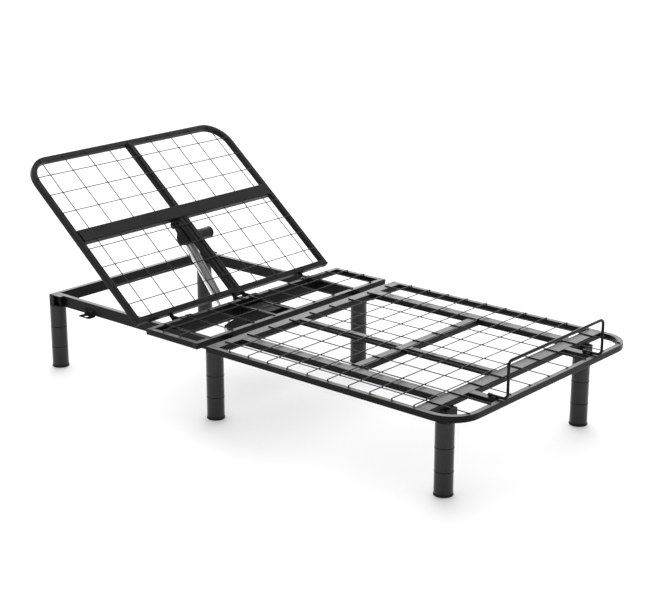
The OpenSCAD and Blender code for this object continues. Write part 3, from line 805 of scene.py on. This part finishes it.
b = Build()
b.both(lathe([(0, 0), (4, 0), (4, 18), (0, 18)], 24), T(312.4, HY, HZ) @ ALONG["X"])
b.both(hexbolt(7.4, 5.0, None), T(318, HY, HZ) @ ALONG["X"] @ Matrix.Rotation(math.pi, 4, "X"))
b.both(lathe([(0, 0), (7.2, 0), (7.2, 0.8), (6.6, 2.0), (5.0, 3.2), (2.6, 4.0), (0, 4.2)], 28), T(326.8, HY, HZ) @ ALONG["X"])
b.both(hexbolt(7.4, 5.0, None), T(28.4, HY, HZ) @ ALONG["X"])
b.add(lathe([(0, -31.6), (4, -31.6), (4, 31.6), (0, 31.6)], 24), T(0, HY, HZ) @ ALONG["X"])
for x in (283, 296, 34):
    b.both(lathe([(0, 0), (4.6, 0), (4.5, 1.2), (3.8, 2.3), (2.2, 2.9), (0, 3.0)], 24), T(x, SY1 - 9, Z1 + 3))
piece("hinge_bolt_set", b, M_BASE, "base", "frame", ["hinge_bolts"])

b = Build()
for x in (322.4, 20):
    b.both(ring_plate([(-p[0], -p[1]) for p in eye_outline(15 - HS, 9, 9)], 4.05, 0, 4), T(x, HS, HO) @ ALONG["X"])
piece("hinge_arm_plates", b, M_BACK, "backrest", "frame", ["hinge_arms"])

# ---------------------------------------------------------------- lower actuator bracket
b = Build()
ear = fillet([(264, ZL - 3), (264, ZL - 42), (300, QZ - 8), (QY - 10, QZ - 14), (QY + 6, QZ - 13), (QY + 14, QZ - 6), (QY + 13, QZ + 14),
              (300, ZL - 10), (284, ZL - 3)], [1, 8, 8, 6, 6, 7, 7, 5, 1], 5)
b.both(prism(ear, 22, 25, 0.5), ALONG["X"])
piece("lower_bracket_plates", b, M_BASE, "base", "frame", ["lower_bracket_ears"])
b = Build()
b.add(prism(rrect(60, 20, 2.0), ZL - 3, ZL, 0.5), T(0, 274, 0))
piece("lower_bracket_foot", b, M_BASE, "base", "frame", ["lower_bracket_base"])
b = Build()
b.both(hexbolt(8.7, 6.0, 9.2, 1.2), T(25, QY, QZ) @ ALONG["X"])
piece("lower_bracket_bolts", b, M_BASE, "base", "zinc", ["lower_bolt_heads"])

# ---------------------------------------------------------------- backrest panel
b = Build()
b.add(u_tube(HX - 100, 15.5, 640, 90, O0 + 10, 1))
piece("back_frame_tube", b, M_BACK, "backrest", "frame", ["back_side_tubes", "back_corner_bends", "back_top_tube"])
b = Build()
btube(b, 20, HX - 20, 15, 35, O0, O1, "X", 1.5, 2.0, both=True)
piece("back_bottom_rail", b, M_BACK, "backrest", "frame", ["back_bottom_tube"])
b = Build()
btube(b, -HX + 20, HX - 20, 365, 416, O0, 1.8, "X", 2.0, 2.2)
piece("back_cross_rail", b, M_BACK, "backrest", "frame", ["back_crossbar"])
b = Build()
btube(b, -6, 20, 416, 720, O0, O1, "Y")
btube(b, -20, 20, 8, 365, O0, O1, "Y")
piece("back_stringer_tubes", b, M_BACK, "backrest", "frame", ["back_stringers"])
b = Build()
b.both(cap_plate(20, 20, 1.5), T(HX - 10, 15.5, O0 + 10) @ ALONG["Y"] @ Matrix.Rotation(math.pi, 4, "X"))
b.both(prism(rrect(16.9, 16.9, 1.5), 0, 12, 0.6), T(HX - 10, 15.5, O0 + 10) @ ALONG["Y"])
piece("back_tube_plugs", b, M_BACK, "backrest", "cap", ["back_end_caps"])

b = Build()
ear = fillet([(367, O0 - 3), (414, O0 - 3), (PS + 14, PO + 2), (PS + 11, PO - 9), (PS + 3, PO - 14), (PS - 8, PO - 12), (PS - 13, PO - 4)][::-1], [4, 5, 6, 5, 6, 1, 1], 5)
b.both(prism(ear, 12, 16, 0.5), ALONG["X"])
b.add(prism(rrect(48, 49, 3.0), O0 - 3, O0, 0.5), T(0, 390.5, 0))
b.add(lathe([(0, -20), (5, -20), (5, 20), (0, 20)], 24), T(0, PS, PO) @ ALONG["X"])
piece("actuator_bracket_plates", b, M_BACK, "backrest", "frame", ["actuator_top_bracket"])
b = Build()
b.both(hexbolt(8, 5.0, 8.6, 1.0), T(16, PS, PO) @ ALONG["X"])
piece("actuator_bracket_bolt", b, M_BACK, "backrest", "frame")

# ---------------------------------------------------------------- actuator
b = Build()
hp = [(20, -30), (34, -35), (84, -42), (90, -36), (90, -16), (80, 5), (74, 12), (60, 15), (50, 12), (24, -14), (16, -24)]
shell = fillet(hp, 6, 6)
b.add(prism(inset(shell, 0.9), -19.0, 19.0, 0.2), ALONG["X"])
b.add(prism(shell, -22, -1.0, 2.0, 4, b1=0.4), ALONG["X"])
b.add(prism(shell, 0.2, 22, 2.0, 4, b0=0.4), ALONG["X"])
b.add(prism(rrect(34, 20, 4.0), -10, 10, 1.0), T(0, 17, -2) @ ALONG["X"])
b.add(lathe([(5.1, -10), (11.2, -10), (12, -9.2), (12, 9.2), (11.2, 10), (5.1, 10)], 40, True), ALONG["X"])
for u, v in ((30, -27), (80, -33), (70, 4), (46, 2)):
    for sx in (-1, 1):
        b.add(lathe([(0, 0), (3.6, 0), (3.4, 1.2), (2.2, 1.5), (1.4, 1.5), (1.2, 0.6), (0, 0.6)], 20), Matrix.Diagonal((sx, 1, 1, 1)) @ T(21.6, u, v) @ ALONG["X"])
b.add(lathe([(0, 0), (15, 0), (15, 1.2), (13.8, 1.9), (12.4, 1.9), (12.0, 1.0), (0, 1.0)], 40), Matrix.Diagonal((-1, 1, 1, 1)) @ T(21.4, 58, -16) @ ALONG["X"])
piece("gearbox_case", b, M_ACT, "actuator", "gear", ["gear_housing"])

b = Build()
prof = [(0, 22), (20.4, 22), (21, 22.6), (21, 38), (20.6, 38.4), (20.6, 39.2), (21, 39.6), (21, 99.4), (20.6, 100)]
b.add(lathe(prof + [(0, 100)], 64), T(0, 66, -20) @ ALONG["X"])
piece("motor_can", b, M_ACT, "actuator", "motor", ["drive_motor"])
b = Build()
b.add(lathe([(0, 99.6), (20, 99.6), (20, 104), (21.4, 104), (21.4, 109.5), (20.4, 111.3), (18.4, 112), (11, 112), (10.4, 111.2), (0, 111.2)], 64), T(0, 66, -20) @ ALONG["X"])
b.add(lathe([(0, 22.0), (21.4, 22.0), (21.4, 25.4), (20.9, 26), (0, 26)], 64), T(0, 66, -20) @ ALONG["X"])
piece("motor_end_cap", b, M_ACT, "actuator", "cap")


RU0, RU1 = 80.0, 305.0
ALY = Matrix(((1, 0, 0, 0), (0, 0, -1, 0), (0, 1, 0, 0), (0, 0, 0, 1)))


def bored(loop, r, z0, z1, bev=0.4):
    """A prism about the Z axis with a round bore at the origin."""
    hl = []
    for x, y in loop:
        a = math.atan2(y, x)
        hl.append((r * math.cos(a), r * math.sin(a)))
    oi = inset(loop, bev)
    rings = [[(x, y, z0) for x, y in oi], [(x, y, z0 + bev) for x, y in loop], [(x, y, z1 - bev) for x, y in loop], [(x, y, z1) for x, y in oi],
             [(x, y, z1) for x, y in hl], [(x, y, z0) for x, y in hl]]
    return stitch(rings, closed=True)


b = Build()
b.add(bored(circle(12, 56, 0, -2.5), 7.35, -(RU1 - 1.2), -RU0, 0.3), ALY)
piece("guide_tube_polished", b, M_ACT, "actuator", "tube")
channel = fillet([(-11, -27), (-3.2, -27), (-3.2, -24.8), (3.2, -24.8), (3.2, -27), (11, -27), (11, -20.6), (10.2, -20.6), (10.2, -19.4), (11, -19.4),
                  (11, -16.5), (5, -16.5), (5, -15), (-5, -15), (-5, -16.5), (-11, -16.5), (-11, -19.4), (-10.2, -19.4), (-10.2, -20.6), (-11, -20.6)],
                 [1.2, 0.3, 0.3, 0.3, 0.3, 1.2, 0.2, 0.1, 0.1, 0.2, 0.6, 0.4, 0.1, 0.1, 0.4, 0.6, 0.2, 0.1, 0.1, 0.2], 3)
b = Build()
b.add(prism(channel, -(RU1 - 1.2), -RU0, 0.0), ALY)
piece("guide_rail_extrusion", b, M_ACT, "actuator", "alu", ["guide_rail"])
# Dark plastic strip filling the neck between the guide tube and the channel: painted shade standing in for the dark
# groove there
b = Build()
b.add(prism(fillet([(-10.7, -16.4), (10.7, -16.4), (10.7, -12.2), (7.5, -10.2), (-7.5, -10.2), (-10.7, -12.2)], 0.6, 3), -(RU1 - 1.2), -RU0, 0.0), ALY)
piece("guide_rail_groove_shade_strip", b, M_ACT, "actuator", "cap")
b = Build()
b.add(bored(circle(12, 56, 0, -2.5), 7.3, -RU1, -(RU1 - 1.2), 0.4), ALY)
b.add(prism(fillet([(-11, -27), (11, -27), (11, -16.5), (-11, -16.5)], 1.4, 4), -RU1, -(RU1 - 1.2), 0.4), ALY)
piece("guide_rail_bush", b, M_ACT, "actuator", "cap")

# ---------------------------------------------------------------- rod
b = Build()
b.add(lathe([(0, 200), (6.2, 200), (7, 200.8), (7, STROKE - 30), (7, STROKE - 17), (8.6, STROKE - 16), (8.6, STROKE - 10), (0, STROKE - 10)], 48), ALONG["Y"])
b.add(lathe([(5.08, -8), (12.2, -8), (13, -7.2), (13, 7.2), (12.2, 8), (5.08, 8)], 48, True), T(0, STROKE, 0) @ ALONG["X"])
b.add(lathe([(0, -21), (4.4, -21), (5, -20.4), (5, 20.4), (4.4, 21), (0, 21)], 32), T(0, STROKE, 0) @ ALONG["X"])
piece("actuator_rod_chromed", b, M_ACT, "rod", "chrome", ["actuator_rod"])

# ---------------------------------------------------------------- weld beads on the base and the backrest
def tee_x(b, x, y0, y1, z0, z1, side, seed=0, top=True):
    """Beads where a tube along X butts a wall at x; side is the direction the tube comes from."""
    e = 0.5 * side
    b.add(bead((x + e, y0 - 0.2, z0 + 1), (x + e, y0 - 0.2, z1 - 1), 1.7, seed))
    b.add(bead((x + e, y1 + 0.2, z0 + 1), (x + e, y1 + 0.2, z1 - 1), 1.7, seed + 1))
    b.add(bead((x + e, y0 + 1, z0 - 0.1), (x + e, y1 - 1, z0 - 0.1), 1.5, seed + 2))
    if top:
        b.add(bead((x + e * 0.2, y0 + 1.5, z1 - 0.75), (x + e * 0.2, y1 - 1.5, z1 - 0.75), 1.15, seed + 3))


def tee_y(b, y, x0, x1, z0, z1, side, seed=0, top=True):
    e = 0.5 * side
    if x0 > -470:
        b.add(bead((x0 - 0.2, y + e, z0 + 1), (x0 - 0.2, y + e, z1 - 1), 1.7, seed))
    if x1 < 470:
        b.add(bead((x1 + 0.2, y + e, z0 + 1), (x1 + 0.2, y + e, z1 - 1), 1.7, seed + 1))
    b.add(bead((x0 + 1, y + e, z0 - 0.1), (x1 - 1, y + e, z0 - 0.1), 1.5, seed + 2))
    if top:
        b.add(bead((x0 + 1.5, y + e * 0.2, z1 - 0.75), (x1 - 1.5, y + e * 0.2, z1 - 0.75), 1.15, seed + 3))


b = Build()
for sx in (-1, 1):
    tee_x(b, sx * 458, -860, -811, Z0, Z1, -sx, 1 + sx)
    tee_x(b, sx * 458, -29, 10, Z0, Z1, -sx, 3 + sx)
    tee_x(b, sx * 312, -484, -446, Z0, Z1, -sx, 5 + sx)
    x0, x1 = sorted((sx * 312, sx * 352))
    tee_y(b, -811, x0, x1, Z0, Z1, 1, 7 + sx)
    tee_y(b, -29, x0, x1, Z0, Z1, -1, 9 + sx)
    x0, x1 = sorted((sx * 240, sx * 270))
    tee_y(b, -860, x0, x1, Z0, Z1, -1, 11 + sx)
    tee_y(b, -956.5, x0, x1, Z0, Z1, 1, 12 + sx)
    x0, x1 = sorted((sx * 458, sx * 478))
    tee_y(b, SY0 + 20, x0, x1, Z0, Z1, 1, 14 + sx)
    tee_y(b, SY1 - 20, x0, x1, Z0, Z1, -1, 15 + sx)
    x0, x1 = sorted((sx * 357, sx * 377))
    tee_y(b, 857, x0, x1, ZL, ZR, -1, 17 + sx)
    tee_x(b, sx * 357, 264, 284, ZL, ZR, -sx, 19 + sx, False)
    tee_x(b, sx * 357, 52, 72, ZL, ZR, -sx, 21 + sx, False)
    x0, x1 = sorted((sx * 36.5, sx * 56.5))
    tee_y(b, 72, x0, x1, ZL, ZR, 1, 23 + sx, False)
    tee_y(b, 264, x0, x1, ZL, ZR, -1, 25 + sx, False)
for y, s in ((-811, 1), (-484, -1), (-446, 1), (-29, -1)):
    tee_y(b, y, -76, -52, Z0, Z1, s, y)
piece("base_weld_beads", b, M_BASE, "base", "weld")
b = Build()
for sx in (-1, 1):
    tee_x(b, sx * 458, 15, 35, O0, O1, -sx, 1 + sx)
    tee_x(b, sx * 458, 365, 416, O0, O1, -sx, 3 + sx, False)
    tee_x(b, sx * 20, 15, 35, O0, O1, sx, 5 + sx, False)
tee_y(b, 365, -20, 20, O0, O1, -1, 3)
tee_y(b, 416, -6, 20, O0, O1, 1, 4)
tee_y(b, 720, -6, 20, O0, O1, -1, 5)
piece("backrest_weld_beads", b, M_BACK, "backrest", "weld")

# ---------------------------------------------------------------- stage
def floor_material():
    m, nt, bs = new_mat("studio_floor")
    v = coords(nt)
    n = noise(nt, v, 1.3, 5.0)
    nt.links.new(ramp(nt, n, [(0.3, 0.955), (0.7, 0.965)]), bs.inputs["Base Color"])
    bs.inputs["Roughness"].default_value = 0.85
    bs.inputs["Specular IOR Level"].default_value = 0.1
    return m


me = bpy.data.meshes.new("studio_floor")
S = 60.0
N = 12
verts = [(-S + 2 * S * i / N, -S + 2 * S * j / N, 0.0) for j in range(N + 1) for i in range(N + 1)]
faces = [[j * (N + 1) + i, j * (N + 1) + i + 1, (j + 1) * (N + 1) + i + 1, (j + 1) * (N + 1) + i] for j in range(N) for i in range(N)]
me.from_pydata(verts, [], faces)
me.materials.append(floor_material())
floor = bpy.data.objects.new("studio_floor", me)
bpy.context.scene.collection.objects.link(floor)

world = bpy.data.worlds.new("studio") if not bpy.data.worlds else bpy.data.worlds[0]
bpy.context.scene.world = world
world.use_nodes = True
nt = world.node_tree
nt.nodes.clear()
wo = nt.nodes.new("ShaderNodeOutputWorld")
bg = nt.nodes.new("ShaderNodeBackground")
nt.links.new(bg.outputs[0], wo.inputs[0])
tc = nt.nodes.new("ShaderNodeTexCoord")
dot = nt.nodes.new("ShaderNodeVectorMath")
dot.operation = "DOT_PRODUCT"
nt.links.new(tc.outputs["Generated"], dot.inputs[0])
dot.inputs[1].default_value = (0.62, 0.53, 0.58)
mr = nt.nodes.new("ShaderNodeMapRange")
mr.inputs["From Min"].default_value = -0.9
mr.inputs["From Max"].default_value = 1.0
mr.inputs["To Min"].default_value = 0.40
mr.inputs["To Max"].default_value = 1.15
nt.links.new(dot.outputs["Value"], mr.inputs["Value"])
dot2 = nt.nodes.new("ShaderNodeVectorMath")
dot2.operation = "DOT_PRODUCT"
nt.links.new(tc.outputs["Generated"], dot2.inputs[0])
dot2.inputs[1].default_value = (0.702, 0.612, 0.364)
lobe = nt.nodes.new("ShaderNodeMapRange")
lobe.interpolation_type = "SMOOTHSTEP"
lobe.inputs["From Min"].default_value = 0.72
lobe.inputs["From Max"].default_value = 1.0
lobe.inputs["To Min"].default_value = 0.0
lobe.inputs["To Max"].default_value = 3.3
nt.links.new(dot2.outputs["Value"], lobe.inputs["Value"])
summed = nt.nodes.new("ShaderNodeMath")
summed.operation = "ADD"
nt.links.new(mr.outputs["Result"], summed.inputs[0])
nt.links.new(lobe.outputs["Result"], summed.inputs[1])
nt.links.new(summed.outputs[0], bg.inputs["Strength"])
bg.inputs["Color"].default_value = (1.0, 1.0, 1.0, 1)


def area(name, loc, target, size, power, color=(1, 1, 1)):
    li = bpy.data.lights.new(name, "AREA")
    li.shape = "RECTANGLE"
    li.size, li.size_y = size
    li.energy = power
    li.color = color
    ob = bpy.data.objects.new(name, li)
    ob.location = loc
    ob.rotation_euler = (Vector(target) - Vector(loc)).to_track_quat("-Z", "Y").to_euler()
    bpy.context.scene.collection.objects.link(ob)
    return ob


area("overhead_softbox", (0.6, 0.8, 4.6), (0, 0, 0.2), (4.5, 4.5), 60)

cam = bpy.data.cameras.new("camera")
cam.lens = 86.70
cam.sensor_width = 36.0
cam.clip_end = 200.0
co = bpy.data.objects.new("camera", cam)
bpy.context.scene.collection.objects.link(co)
az, el, roll = math.radians(-49.293), math.radians(17.432), math.radians(0.060)
fwd = Vector((-math.sin(az) * math.cos(el), math.cos(az) * math.cos(el), -math.sin(el)))
right = fwd.cross(Vector((0, 0, 1))).normalized()
up = right.cross(fwd).normalized()
rot = Matrix((right, up, -fwd)).transposed().to_4x4()
co.matrix_world = Matrix.Translation((-3.80341, (-3360.48 + YS) / 1000, 1.91671)) @ rot @ Matrix.Rotation(roll, 4, "Z")
bpy.context.scene.camera = co
bpy.context.scene.view_settings.view_transform = "Standard"

bpy.context.view_layer.update()
